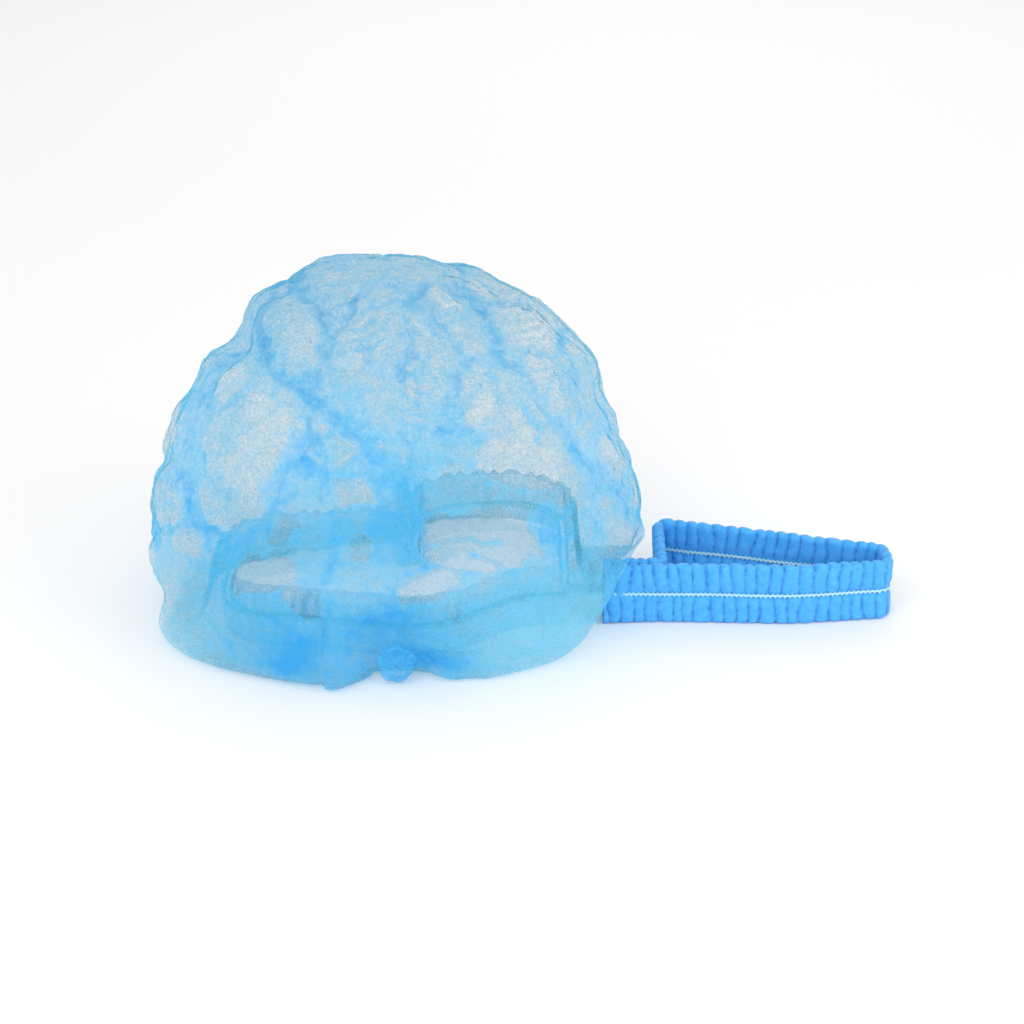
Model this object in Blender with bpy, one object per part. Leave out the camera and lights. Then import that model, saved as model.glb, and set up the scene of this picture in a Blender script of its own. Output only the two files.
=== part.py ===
"""Disposable hairnet of the beard-cover kind, resting on its elastic edge.

A thin hollow pouch of nonwoven cloth billows over and outside a pleated elastic band. The band is one ring:
its left part is the mouth that the pouch hangs from, then its two runs lie side by side, and its right part is
the free strap. Metres, +Z up, +X towards the strap, +Y away from the side that shows the front knot.
"""

import math

import bmesh
import bpy
from mathutils import Vector

# Pouch, measured over its cloth
POUCH_WIDTH = 0.177
POUCH_DEPTH = 0.154
POUCH_HEIGHT = 0.127
CLOTH_WALL = 0.0010
POUCH_SQUARENESS = 2.35
CROWN_LEAN = 0.006

# Elastic band, standing on its edge
BAND_WIDTH = 0.0225
PLEAT_PITCH = 0.0046
PLEAT_RIDGE = 0.0036
PLEAT_GROOVE = 0.0018
WAIST_SHARE = 0.78

# Mouth ring, measured between the band's centre lines
MOUTH_WIDTH = 0.120
MOUTH_DEPTH = 0.106
MOUTH_FORWARD = 0.028
MOUTH_BEHIND_BELLY = 0.026

# Strap, from the pouch's side to its far fold
STRAP_REACH = 0.084
STRAP_SPREAD = 0.034
STRAP_STANDOFF = 0.0040
STRAP_LEAN = 0.0030
TIP_RADIUS = 0.0042
CORNER_RADIUS = 0.0038

# Clearances
SEAM_GAP = 0.0003
RUN_GAP = 0.0007
LIP_CLEARANCE = 0.0012
RUN_MARGIN = 0.0068

# Gathers and folds of the pouch
GATHER_DEPTH = 0.0009
FOLD_DEPTH = 0.0045
FOLD_WIDTH = 0.0070
FOLD_PLANE_TILT = math.radians(25)
DRAPE_SLOPE = 1.8

# The two gathered ends of the pouch's cloth
KNOT_WIDTH = 0.0125
KNOT_HEIGHT = 0.0145
KNOT_FLATNESS = 0.7
BUNCH_WIDTH = 0.0140
BUNCH_HEIGHT = 0.045
BUNCH_FLATNESS = 0.85
BUNDLE_LOBES = 7
LOBE_DEPTH = 0.13
BUNDLE_TWIST = 0.9

# Fineness of the faceted surfaces
POUCH_COLUMNS = 84
CROWN_ROWS = 9
BUNDLE_POINTS = 28
STATIONS_PER_PLEAT = 3
ARC_STEP = math.radians(15)

CLOTH_BLUE = (0.30, 0.66, 0.90, 1.0)
BAND_BLUE = (0.06, 0.42, 0.85, 1.0)
WELD_BLUE = (0.12, 0.52, 0.88, 1.0)

# The band's centre line round the mouth. along: share of the mouth's width from its left end.
# across: share of its depth from its front. bend: the corner's radius as a share of its depth.
MOUTH_COLUMNS = ("along", "across", "bend")
MOUTH_CORNERS = (
    (0.86, 0.235, 0.22),
    (0.62, 0.000, 0.30),
    (0.26, 0.080, 0.45),
    (0.00, 0.130, 0.24),
    (0.00, 0.620, 0.20),
    (0.40, 0.655, 0.22),
    (0.51, 0.730, 0.12),
    (0.61, 0.960, 0.17),
    (1.00, 1.000, 0.27),
)

# The row of that table where the far lip's middle is pulled in.
PULLED_IN_CORNER = 6

# The pouch round its centre. azimuth in degrees from +X towards +Y. belly: reach of its widest line, as a share
# of the plain outline. height: height of that line, as a share of the pouch's. foot: reach of the cloth on the
# floor, as a share of the belly's.
SECTION_COLUMNS = ("azimuth", "belly", "height", "foot")
SECTIONS = (
    (0, 1.00, 0.25, 0.86),
    (35, 1.00, 0.27, 0.90),
    (70, 0.99, 0.27, 0.92),
    (92, 0.96, 0.25, 0.90),
    (115, 0.99, 0.27, 0.92),
    (150, 1.00, 0.26, 0.92),
    (180, 1.00, 0.23, 0.93),
    (212, 0.98, 0.17, 1.00),
    (235, 0.96, 0.15, 1.02),
    (253, 0.99, 0.13, 1.01),
    (266, 0.83, 0.15, 0.98),
    (274, 0.83, 0.15, 0.98),
    (287, 0.97, 0.14, 0.99),
    (310, 0.99, 0.17, 0.97),
    (335, 1.00, 0.24, 0.90),
)

# Valleys of the pouch, drawn on a plane that leans back by FOLD_PLANE_TILT. Each runs straight from (x, up) to
# (to_x, to_up), as shares of half the pouch's width and of its height. depth: share of the fold's named depth.
FOLD_COLUMNS = ("x", "up", "to_x", "to_up", "depth")
FOLDS = (
    (-0.59, 0.93, -0.84, 0.47, 1.0),
    (-0.52, 0.76, -0.07, 0.45, 0.9),
    (-0.36, 0.93, -0.24, 0.77, 0.8),
    (-0.13, 0.93, -0.24, 0.76, 0.7),
    (0.10, 0.94, 0.05, 0.55, 0.8),
    (0.21, 0.95, 0.46, 0.72, 1.1),
    (0.46, 0.72, 0.97, 0.31, 1.1),
    (0.64, 0.86, 0.76, 0.58, 0.7),
)

# Bundles of gathered cloth, from the bottom up. height: share of the bundle's. width: share of the bundle's.
BUNDLE_COLUMNS = ("height", "width")
KNOT_PROFILE = ((0.0, 0.62), (0.12, 0.86), (0.34, 1.0), (0.52, 0.80), (0.66, 0.60), (0.80, 0.78), (1.0, 0.66))
BUNCH_PROFILE = ((0.0, 0.50), (0.10, 0.62), (0.30, 0.56), (0.50, 0.62), (0.75, 0.88), (0.93, 1.0), (1.0, 0.86))


def clear_scene():
    for obj in list(bpy.data.objects):
        bpy.data.objects.remove(obj, do_unlink=True)


def material(name, colour, roughness):
    made = bpy.data.materials.new(name)
    made.use_nodes = True
    shader = made.node_tree.nodes["Principled BSDF"]
    shader.inputs["Base Color"].default_value = colour
    shader.inputs["Roughness"].default_value = roughness
    shader.inputs["Metallic"].default_value = 0.0
    return made


def smooth_step(low, high, value):
    share = min(1.0, max(0.0, (value - low) / (high - low)))
    return share * share * (3 - 2 * share)


def rounded_path(corners):
    """Points along straight runs through corners of (x, y, radius), with each corner turned on an arc."""
    path = [Vector(corners[0][:2])]
    for before, corner, after in zip(corners, corners[1:], corners[2:]):
        here = Vector(corner[:2])
        back = (Vector(before[:2]) - here).normalized()
        onward = (Vector(after[:2]) - here).normalized()
        half = math.acos(max(-1.0, min(1.0, back.dot(onward)))) / 2
        bisector = back + onward
        if corner[2] <= 0 or bisector.length < 1e-6:
            path.append(here)
            continue
        room = min((Vector(before[:2]) - here).length, (Vector(after[:2]) - here).length) / 2
        radius = min(corner[2], room * math.tan(half))
        centre = here + bisector.normalized() * radius / math.sin(half)
        start = here + back * radius / math.tan(half) - centre
        turn = math.pi - 2 * half
        if start.x * -back.y - start.y * -back.x < 0:
            turn = -turn
        steps = max(2, math.ceil(abs(turn) / ARC_STEP))
        for i in range(steps + 1):
            angle = turn * i / steps
            sine, cosine = math.sin(angle), math.cos(angle)
            path.append(centre + Vector((start.x * cosine - start.y * sine, start.x * sine + start.y * cosine)))
    path.append(Vector(corners[-1][:2]))
    return path


def path_length(path):
    return sum((b - a).length for a, b in zip(path, path[1:]))


def stations(path, count):
    """count + 1 points evenly spaced along the path, each with its unit direction."""
    step = path_length(path) / count
    found = []
    travelled = 0.0
    index = 0
    for i in range(count + 1):
        wanted = min(i * step, path_length(path))
        while index < len(path) - 2 and travelled + (path[index + 1] - path[index]).length < wanted:
            travelled += (path[index + 1] - path[index]).length
            index += 1
        run = path[index + 1] - path[index]
        found.append(path[index] + run.normalized() * (wanted - travelled))
    placed = []
    for i, point in enumerate(found):
        ahead, behind = found[min(i + 1, count)], found[max(i - 1, 0)]
        placed.append((point, (ahead - behind).normalized()))
    return placed


class Layout:
    """Where the band runs and the pouch stands, worked out from the driving dimensions."""

    def __init__(self):
        self.left = -MOUTH_WIDTH / 2
        self.front = -MOUTH_FORWARD
        self.centre = Vector((0.0, POUCH_DEPTH / 2 - MOUTH_FORWARD - MOUTH_BEHIND_BELLY))
        self.join = POUCH_WIDTH / 2 + STRAP_STANDOFF
        self.run_offset = PLEAT_RIDGE + RUN_GAP
        self.turn = self.join + PLEAT_RIDGE / 2
        self.tip = self.join + STRAP_REACH - PLEAT_RIDGE / 2
        self.crown = self.centre - Vector((CROWN_LEAN, 0.0))

    def mouth_corners(self):
        placed = []
        for along, across, bend in MOUTH_CORNERS:
            x = self.left + along * MOUTH_WIDTH
            y = self.front + across * MOUTH_DEPTH
            placed.append((x, y, bend * MOUTH_DEPTH))
        return placed

    def mouth_path(self):
        """From the near run's end, round the mouth, to the end of the inner run beside it."""
        start = (self.turn - CORNER_RADIUS, 0.0, 0)
        pinch = (self.left + MOUTH_WIDTH, self.run_offset, CORNER_RADIUS)
        end = (self.turn - CORNER_RADIUS, self.run_offset, 0)
        return rounded_path([start, *self.mouth_corners(), pinch, end])

    def pulled_in_middle(self):
        """The point of the far lip where its middle is pulled in, with the band's direction there."""
        bend = Vector(self.mouth_corners()[PULLED_IN_CORNER][:2])
        placed = stations(self.mouth_path(), POUCH_COLUMNS * 2)
        return min(placed, key=lambda station: (station[0] - bend).length)

    def rim_path(self):
        """The closed line that the pouch is seamed to: the mouth without its two runs to the strap."""
        corners = self.mouth_corners()
        close = (self.left + MOUTH_WIDTH, -CORNER_RADIUS / 2, CORNER_RADIUS)
        middle = (self.left + MOUTH_WIDTH, self.centre.y, 0)
        loop = rounded_path([middle, close, *corners, middle])
        return loop

    def strap_path(self):
        """From the inner run's end, back across the loop, out to the tip and home along the near run."""
        start = self.turn - CORNER_RADIUS + SEAM_GAP
        far = self.run_offset + STRAP_SPREAD
        return rounded_path(
            [
                (start, self.run_offset, 0),
                (self.turn, self.run_offset, CORNER_RADIUS),
                (self.turn, far, CORNER_RADIUS),
                (self.tip, STRAP_LEAN + 3 * TIP_RADIUS, TIP_RADIUS * 0.9),
                (self.tip, STRAP_LEAN, TIP_RADIUS * 0.9),
                (self.turn + STRAP_REACH * 0.55, -STRAP_LEAN / 2, STRAP_REACH * 0.5),
                (self.turn + STRAP_REACH * 0.1, 0.0, STRAP_REACH * 0.5),
                (start, 0.0, 0),
            ]
        )


def band_section(point, direction, thickness):
    """The six corners of the standing band where it is this thick, narrowed at the stitch line."""
    across = Vector((-direction.y, direction.x))
    waist = thickness * WAIST_SHARE
    outline = (
        (-thickness / 2, 0.0),
        (thickness / 2, 0.0),
        (waist / 2, BAND_WIDTH / 2),
        (thickness / 2, BAND_WIDTH),
        (-thickness / 2, BAND_WIDTH),
        (-waist / 2, BAND_WIDTH / 2),
    )
    return [Vector((point.x + across.x * n, point.y + across.y * n, z)) for n, z in outline]


def pleated_band(name, path, finish):
    """A band of standing pleats along the path, thick at each ridge and thin in the groove between two."""
    pleats = max(2, round(path_length(path) / PLEAT_PITCH))
    placed = stations(path, pleats * STATIONS_PER_PLEAT)
    rings = []
    for i, (point, direction) in enumerate(placed):
        thickness = PLEAT_GROOVE if i % STATIONS_PER_PLEAT == 0 else PLEAT_RIDGE
        rings.append(band_section(point, direction, thickness))
    return solid_from_rings(name, rings, finish)


def solid_from_rings(name, rings, finish):
    """A closed solid through rings of equally many points, with its two ends filled."""
    shape = bmesh.new()
    rows = [[shape.verts.new(point) for point in ring] for ring in rings]
    size = len(rows[0])
    for row, following in zip(rows, rows[1:]):
        for i in range(size):
            shape.faces.new((row[i], row[(i + 1) % size], following[(i + 1) % size], following[i]))
    shape.faces.new(list(reversed(rows[0])))
    shape.faces.new(rows[-1])
    return finished(name, shape, finish)


def finished(name, shape, finish):
    bmesh.ops.recalc_face_normals(shape, faces=shape.faces)
    mesh = bpy.data.meshes.new(name)
    shape.to_mesh(mesh)
    shape.free()
    mesh.shade_smooth()
    mesh.set_sharp_from_angle(angle=math.radians(50))
    mesh.materials.append(finish)
    obj = bpy.data.objects.new(name, mesh)
    bpy.context.scene.collection.objects.link(obj)
    return obj


def section_at(azimuth):
    """The belly's share, its height share and the foot's share at this azimuth, eased between the table's rows."""
    degrees = math.degrees(azimuth) % 360
    rows = [*SECTIONS, (SECTIONS[0][0] + 360, *SECTIONS[0][1:])]
    for low, high in zip(rows, rows[1:]):
        if low[0] <= degrees <= high[0]:
            share = smooth_step(low[0], high[0], degrees)
            return [a + (b - a) * share for a, b in zip(low[1:], high[1:])]
    return list(SECTIONS[0][1:])


def outline_reach(azimuth):
    """How far the pouch's plain outline lies from its centre: a rounded oblong."""
    x = abs(math.cos(azimuth)) / (POUCH_WIDTH / 2)
    y = abs(math.sin(azimuth)) / (POUCH_DEPTH / 2)
    return (x**POUCH_SQUARENESS + y**POUCH_SQUARENESS) ** (-1 / POUCH_SQUARENESS)


def over_runs(plan, height, layout):
    """The height of the cloth at this spot, lifted where it passes over the band's two runs to the strap."""
    beyond = max(0.0, layout.left + MOUTH_WIDTH - PLEAT_RIDGE - plan.x)
    aside = max(0.0, abs(plan.y - layout.run_offset / 2) - layout.run_offset / 2 - RUN_MARGIN)
    top = BAND_WIDTH + LIP_CLEARANCE + CLOTH_WALL
    return max(height, top - DRAPE_SLOPE * math.hypot(beyond, aside))


def skirt_column(rim, outward, azimuth, layout):
    """One column of the pouch: from its seam over the band, down, out along the floor and up to its widest line."""
    belly_share, height_share, foot_share = section_at(azimuth)
    reach = outline_reach(azimuth) * belly_share
    ray = Vector((math.cos(azimuth), math.sin(azimuth)))
    belly = layout.centre + ray * reach
    foot = layout.centre + ray * reach * foot_share
    lip = rim + outward * (PLEAT_RIDGE / 2 + CLOTH_WALL / 2 + GATHER_DEPTH + LIP_CLEARANCE)
    seam = BAND_WIDTH + SEAM_GAP + CLOTH_WALL / 2
    floor = CLOTH_WALL / 2
    belly_height = height_share * POUCH_HEIGHT
    keys = (
        (rim, seam),
        (lip, seam + CLOTH_WALL * 0.3),
        (lip.lerp(foot, 0.10), BAND_WIDTH * 0.45),
        (lip.lerp(foot, 0.34), floor),
        (lip.lerp(foot, 0.62), floor),
        (lip.lerp(foot, 0.90), floor),
        (foot, belly_height * 0.22),
        (foot.lerp(belly, 0.62), belly_height * 0.58),
        (belly, belly_height),
    )
    column = []
    for j, (plan, height) in enumerate(keys):
        lifted = over_runs(plan, height, layout) if j > 0 else height
        if j == len(keys) - 1:
            lifted = max(lifted, column[-1].z + belly_height * 0.2)
        column.append(Vector((plan.x, plan.y, lifted)))
    return column


def fold_pull(point, layout):
    """How far the valleys pull the cloth in at this point. The far half mirrors the near half."""
    forward = -abs(point.y - layout.centre.y)
    up = point.z * math.cos(FOLD_PLANE_TILT) + (forward + layout.centre.y) * math.sin(FOLD_PLANE_TILT)
    spot = Vector((point.x - layout.centre.x, up))
    pull = 0.0
    for x, rise, to_x, to_rise, depth in FOLDS:
        start = Vector((x * POUCH_WIDTH / 2, rise * POUCH_HEIGHT))
        run = Vector((to_x * POUCH_WIDTH / 2, to_rise * POUCH_HEIGHT)) - start
        share = min(1.0, max(0.0, (spot - start).dot(run) / run.length_squared))
        away = (spot - start - run * share).length
        pull = max(pull, depth * math.exp(-((away / FOLD_WIDTH) ** 2)))
    return pull * FOLD_DEPTH * smooth_step(0.0, BAND_WIDTH, point.z)


def pouch_grid(layout):
    """The pouch's middle surface as columns of points, each from the seam up to the last row below the apex."""
    rim = stations(layout.rim_path(), POUCH_COLUMNS)[:-1]
    first = rim[0][0] - layout.centre
    start = math.atan2(first.y, first.x)
    columns = []
    for i, (point, direction) in enumerate(rim):
        even = start - 2 * math.pi * i / POUCH_COLUMNS
        from_centre = point - layout.centre
        slip = (math.atan2(from_centre.y, from_centre.x) - even + math.pi) % (2 * math.pi) - math.pi
        outward = Vector((-direction.y, direction.x))
        column = skirt_column(point, outward, even + slip * 0.45, layout)
        belly = column[-1]
        for j in range(1, CROWN_ROWS):
            climb = math.pi / 2 * j / CROWN_ROWS
            plan = layout.crown.lerp(belly.xy, math.cos(climb))
            column.append(Vector((plan.x, plan.y, belly.z + (POUCH_HEIGHT - belly.z) * math.sin(climb))))
        columns.append(column)
    hub = Vector((layout.centre.x, layout.centre.y, POUCH_HEIGHT * 0.35))
    skirt = len(columns[0]) - CROWN_ROWS
    for i, column in enumerate(columns):
        for j, point in enumerate(column):
            outward = (point - hub).normalized()
            side = 1 if i % 2 else -1
            gather = smooth_step(1, 4, j) * (1 - smooth_step(skirt - 1, skirt + 4, j))
            pull = fold_pull(point, layout) * smooth_step(3, 6, j)
            column[j] = point + outward * (side * gather * GATHER_DEPTH - pull)
    return columns


def grid_normals(columns, apex):
    """The outward unit normal at each point of the closed grid."""
    count = len(columns)
    rows = len(columns[0])
    normals = []
    for i in range(count):
        before, after = columns[i - 1], columns[(i + 1) % count]
        normals.append([])
        for j in range(rows):
            up = columns[i][j + 1] if j + 1 < rows else apex
            down = columns[i][max(j - 1, 0)]
            normals[i].append((up - down).cross(after[j] - before[j]).normalized())
    return normals


def pouch(layout, finish):
    """The hollow pouch: an outer and an inner surface one wall apart, joined along the seam."""
    columns = pouch_grid(layout)
    apex = Vector((layout.crown.x, layout.crown.y, POUCH_HEIGHT - CLOTH_WALL / 2))
    normals = grid_normals(columns, apex)
    shape = bmesh.new()
    skins = []
    for side in (1, -1):
        skin = []
        for column, column_normals in zip(columns, normals):
            line = []
            for point, normal in zip(column, column_normals):
                moved = point + normal * (side * CLOTH_WALL / 2)
                moved.z = max(moved.z, 0.0 if side > 0 else CLOTH_WALL)
                line.append(shape.verts.new(moved))
            skin.append(line)
        top = shape.verts.new(apex + Vector((0, 0, side * CLOTH_WALL / 2)))
        skins.append((skin, top))
    for skin, top in skins:
        for line, following in zip(skin, skin[1:] + skin[:1]):
            for j in range(len(line) - 1):
                shape.faces.new((line[j], following[j], following[j + 1], line[j + 1]))
            shape.faces.new((line[-1], following[-1], top))
    outer, inner = skins[0][0], skins[1][0]
    for i in range(len(outer)):
        after = (i + 1) % len(outer)
        shape.faces.new((outer[i][0], inner[i][0], inner[after][0], outer[after][0]))
    return finished("pouch", shape, finish)


def gathered_bundle(name, centre, size, profile, finish):
    """A twisted bundle of gathered cloth, size wide, deep and high, standing at centre, with lobes down it."""
    rings = []
    for share, width_share in profile:
        ring = []
        for i in range(BUNDLE_POINTS):
            angle = 2 * math.pi * i / BUNDLE_POINTS
            lobe = 1 - LOBE_DEPTH * (1 + math.cos(BUNDLE_LOBES * (angle + BUNDLE_TWIST * share)))
            x = centre.x + size.x / 2 * width_share * lobe * math.cos(angle)
            y = centre.y + size.y / 2 * width_share * lobe * math.sin(angle)
            ring.append(Vector((x, y, share * size.z)))
        rings.append(ring)
    return solid_from_rings(name, rings, finish)


def centre_on_floor(pieces):
    """Move the pieces so that the origin is at the middle of their box's bottom face."""
    corners = [piece.data.vertices[i].co for piece in pieces for i in range(len(piece.data.vertices))]
    low = Vector([min(corner[axis] for corner in corners) for axis in range(3)])
    high = Vector([max(corner[axis] for corner in corners) for axis in range(3)])
    shift = Vector((-(low.x + high.x) / 2, -(low.y + high.y) / 2, -low.z))
    for piece in pieces:
        for vertex in piece.data.vertices:
            vertex.co += shift


def build():
    clear_scene()
    cloth = material("nonwoven_cloth", CLOTH_BLUE, 0.9)
    band = material("pleated_band", BAND_BLUE, 0.9)
    gathered = material("gathered_cloth", WELD_BLUE, 0.9)
    layout = Layout()
    knot_size = Vector((KNOT_WIDTH, KNOT_WIDTH * KNOT_FLATNESS, KNOT_HEIGHT))
    bunch_size = Vector((BUNCH_WIDTH, BUNCH_WIDTH * BUNCH_FLATNESS, BUNCH_HEIGHT))
    belly_share, _, foot_share = section_at(-math.pi / 2)
    valley = layout.centre.y - outline_reach(-math.pi / 2) * belly_share * foot_share
    knot_y = valley - GATHER_DEPTH - CLOTH_WALL / 2 - SEAM_GAP - knot_size.y / 2
    stem_share = max(width for height, width in BUNCH_PROFILE if height * BUNCH_HEIGHT < BAND_WIDTH)
    inward = PLEAT_RIDGE / 2 + SEAM_GAP + BUNCH_WIDTH / 2 * stem_share
    seat, direction = layout.pulled_in_middle()
    bunch_spot = Vector((seat.x + direction.y * inward, seat.y - direction.x * inward))
    centre_on_floor(
        [
            pouch(layout, cloth),
            pleated_band("mouth_band", layout.mouth_path(), band),
            pleated_band("strap_loop", layout.strap_path(), band),
            gathered_bundle("front_knot", Vector((0, knot_y)), knot_size, KNOT_PROFILE, gathered),
            gathered_bundle("rear_bunch", bunch_spot, bunch_size, BUNCH_PROFILE, gathered),
        ]
    )


build()
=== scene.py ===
"""Disposable hairnet: thin puffed pouch, pleated band with its strap loop, stitching and gathered ends."""

import math

import bmesh
import bpy
import numpy as np
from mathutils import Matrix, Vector, noise


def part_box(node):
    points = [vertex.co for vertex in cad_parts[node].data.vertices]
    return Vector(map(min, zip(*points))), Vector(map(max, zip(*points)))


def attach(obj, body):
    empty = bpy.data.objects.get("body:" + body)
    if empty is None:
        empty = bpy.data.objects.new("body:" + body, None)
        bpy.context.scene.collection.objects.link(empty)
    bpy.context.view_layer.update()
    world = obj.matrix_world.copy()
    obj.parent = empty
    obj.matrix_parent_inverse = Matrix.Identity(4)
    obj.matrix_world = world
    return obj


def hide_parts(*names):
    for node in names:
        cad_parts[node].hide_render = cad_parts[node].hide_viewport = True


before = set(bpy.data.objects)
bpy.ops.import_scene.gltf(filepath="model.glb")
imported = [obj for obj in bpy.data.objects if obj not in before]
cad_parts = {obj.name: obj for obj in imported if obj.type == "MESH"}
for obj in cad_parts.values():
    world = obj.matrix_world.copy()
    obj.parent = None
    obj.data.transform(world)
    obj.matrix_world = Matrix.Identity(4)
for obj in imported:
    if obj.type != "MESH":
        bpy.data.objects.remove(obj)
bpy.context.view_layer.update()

# Sizes that the solids have too
ORIGIN = np.array((-0.043425, -0.023))
POUCH_WIDTH = 0.177
POUCH_DEPTH = 0.154
POUCH_HEIGHT = 0.127
POUCH_SQUARENESS = 2.35
CROWN_LEAN = 0.006
BAND_WIDTH = 0.0225
PLEAT_PITCH = 0.0046
PLEAT_RIDGE = 0.0036
MOUTH_WIDTH = 0.120
MOUTH_DEPTH = 0.106
MOUTH_FORWARD = 0.028
STRAP_REACH = 0.084
STRAP_SPREAD = 0.034
STRAP_LEAN = 0.0030
TIP_RADIUS = 0.0042
CORNER_RADIUS = 0.0038
RUN_OFFSET = 0.0043
RUN_MARGIN = 0.0068
DRAPE_SLOPE = 1.8
TURN = 0.0943
CENTRE = np.array((0.0, 0.023))
STRAP_START = 0.0925

# Where the mouth's thin frill gives way to the doubled runs, and how far past them the strap loop starts
FRILL_END = MOUTH_WIDTH / 2 + 0.014
STRAP_JOIN = 0.0003

# How the pouch's sheet runs from its seam on the band, out over the lip and down to its foot
SEAM_LIFT = 0.0008
LIP_REACH = 0.0044
FLOOR_GAP = 0.0006
DRAPE_LIFT = 0.0022
APEX_DROP = 0.0005
KNOT_PLACE = (-0.0415, -0.066, 0.006)

# The band's half thickness in its grooves and what a pleat adds, and its stitch line
GROOVE_HALF = 0.0007
PLEAT_RISE = 0.0013
CORD_RADIUS = 0.00036
CORD_OUT = 0.00118
TICK_OUT = 0.00130
TICK_SWING = 0.00062
STITCH_STEP = 0.00085

# The mouth's corners: share of its width, share of its depth, corner radius as a share of its depth
MOUTH_CORNERS = (
    (0.86, 0.235, 0.22),
    (0.62, 0.000, 0.30),
    (0.26, 0.080, 0.45),
    (0.00, 0.130, 0.24),
    (0.00, 0.620, 0.20),
    (0.40, 0.655, 0.22),
    (0.51, 0.730, 0.12),
    (0.61, 0.960, 0.17),
    (1.00, 1.000, 0.27),
)

# azimuth, reach of the widest line, its height, reach of the foot
SECTIONS = (
    (0, 1.00, 0.25, 0.86),
    (35, 1.00, 0.27, 0.90),
    (70, 0.99, 0.27, 0.92),
    (92, 0.96, 0.25, 0.90),
    (115, 0.99, 0.27, 0.92),
    (150, 1.00, 0.26, 0.92),
    (180, 1.00, 0.23, 0.93),
    (212, 0.98, 0.17, 1.05),
    (235, 0.96, 0.15, 1.035),
    (253, 0.99, 0.13, 1.01),
    (266, 0.83, 0.15, 0.98),
    (274, 0.855, 0.15, 0.99),
    (287, 0.97, 0.14, 0.99),
    (310, 0.99, 0.17, 0.955),
    (335, 1.00, 0.24, 0.90),
)

# The photograph's view: it looks along +Y and down by TILT, and a pixel is M_PER_PIXEL wide at the hairnet.
TILT = math.radians(25)
M_PER_PIXEL = 0.00036
PIXEL_MIDDLE = 518.5
PIXEL_FLOOR = 620
NEAR_RUN_Y = -0.023
CAMERA_DISTANCE = 0.870
CAMERA_TARGET = (-0.0023, 0.0, 0.0322)

# Soft folds of the pouch where the cloth lies in more layers: the line in the photograph's pixels, its width
# there and the layers that it adds.
FOLDS = (
    (((310, 265), (275, 320), (250, 338), (230, 358), (214, 392), (204, 430), (192, 462)), 24, 2.0),
    (((190, 462), (202, 502), (222, 527), (250, 550), (268, 562)), 24, 2.6),
    (((262, 336), (280, 365), (310, 390), (335, 412), (352, 428), (372, 450)), 18, 2.8),
    (((308, 298), (330, 328), (341, 352), (330, 380), (342, 402)), 14, 1.7),
    (((374, 296), (360, 322), (342, 344)), 9, 2.0),
    (((310, 390), (326, 414), (321, 445), (310, 464)), 9, 2.0),
    (((328, 455), (302, 495), (280, 514), (252, 542)), 16, 2.6),
    (((330, 440), (342, 500), (352, 530), (345, 580), (340, 640)), 15, 2.2),
    (
        ((462, 262), (466, 290), (490, 322), (501, 360), (520, 388),
         (550, 418), (572, 441), (605, 470), (622, 505), (646, 528)),
        13, 2.2,
    ),
    (((566, 332), (571, 370), (581, 405), (578, 430)), 11, 2.0),
    (((432, 288), (418, 320), (411, 360), (406, 410)), 12, 1.4),
    (((516, 366), (566, 360)), 7, 1.4),
    (((497, 360), (470, 379), (456, 402), (446, 436), (428, 452)), 14, 2.4),
    (((443, 438), (480, 436), (500, 424)), 8, 1.4),
    (((445, 330), (458, 350), (470, 372)), 9, 1.6),
    (((545, 500), (557, 535), (554, 575)), 20, 2.6),
    (((580, 440), (590, 480), (588, 520), (600, 560)), 14, 1.4),
    (((372, 450), (392, 490), (398, 530), (395, 570)), 26, 1.6),
    (((208, 600), (240, 640), (272, 664)), 10, 1.2),
    (((402, 600), (380, 616), (360, 632)), 10, 1.6),
    (((396, 661), (430, 662), (472, 662)), 24, 6.0),
)

# Narrow creases, in the same terms.
CREASES = (
    (((268, 401), (245, 411), (222, 421)), 4, 2.6),
    (((500, 396), (520, 420), (542, 456)), 4, 2.4),
    (((424, 541), (446, 543), (466, 537), (502, 541)), 4, 3.0),
    (((464, 545), (482, 558), (506, 570)), 4, 3.0),
    (((404, 578), (432, 566), (462, 548)), 7, 2.6),
    (((150, 545), (170, 530), (186, 524)), 5, 2.0),
    (((156, 500), (168, 520), (172, 560)), 5, 2.0),
    (((176, 470), (182, 496), (176, 524)), 4, 2.0),
    (((168, 640), (182, 622), (188, 606)), 4, 1.8),
    (((268, 340), (280, 352), (300, 352)), 5, 1.2),
    (((404, 640), (440, 645), (478, 646)), 5, 1.6),
)

# Short runs of fine cross pleats: the line through their middle and their half width in pixels.
LADDERS = (
    (((352, 306), (370, 336), (388, 372)), 20),
    (((470, 288), (452, 318), (438, 350)), 15),
    (((500, 300), (524, 322), (540, 352)), 12),
    (((428, 392), (420, 430)), 14),
    (((406, 662), (484, 664)), 13),
)

# Wide areas with more cloth behind one another, or less: middle, half width and height in pixels, turn in
# degrees and the change in layers.
TONES = (
    (540, 400, 90, 130, 0, -1.0),
    (165, 600, 30, 60, 0, -1.4),
    (565, 440, 30, 40, 0, -0.8),
    (575, 610, 70, 32, -15, 0.9),
    (600, 510, 34, 60, 0, -0.9),
    (385, 280, 80, 34, 0, 0.5),
    (395, 500, 34, 66, 8, 1.2),
    (440, 455, 40, 22, 20, 1.0),
    (215, 560, 60, 34, 25, 1.3),
    (250, 640, 62, 34, 10, 0.8),
    (306, 655, 26, 36, 0, 8.0),
    (400, 618, 36, 26, 0, 3.2),
    (500, 620, 52, 30, 0, 0.8),
    (590, 540, 24, 60, 0, 1.2),
    (610, 420, 22, 40, 0, 1.0),
    (190, 650, 40, 26, 30, -1.6),
    (600, 560, 30, 40, 0, -1.0),
)

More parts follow.
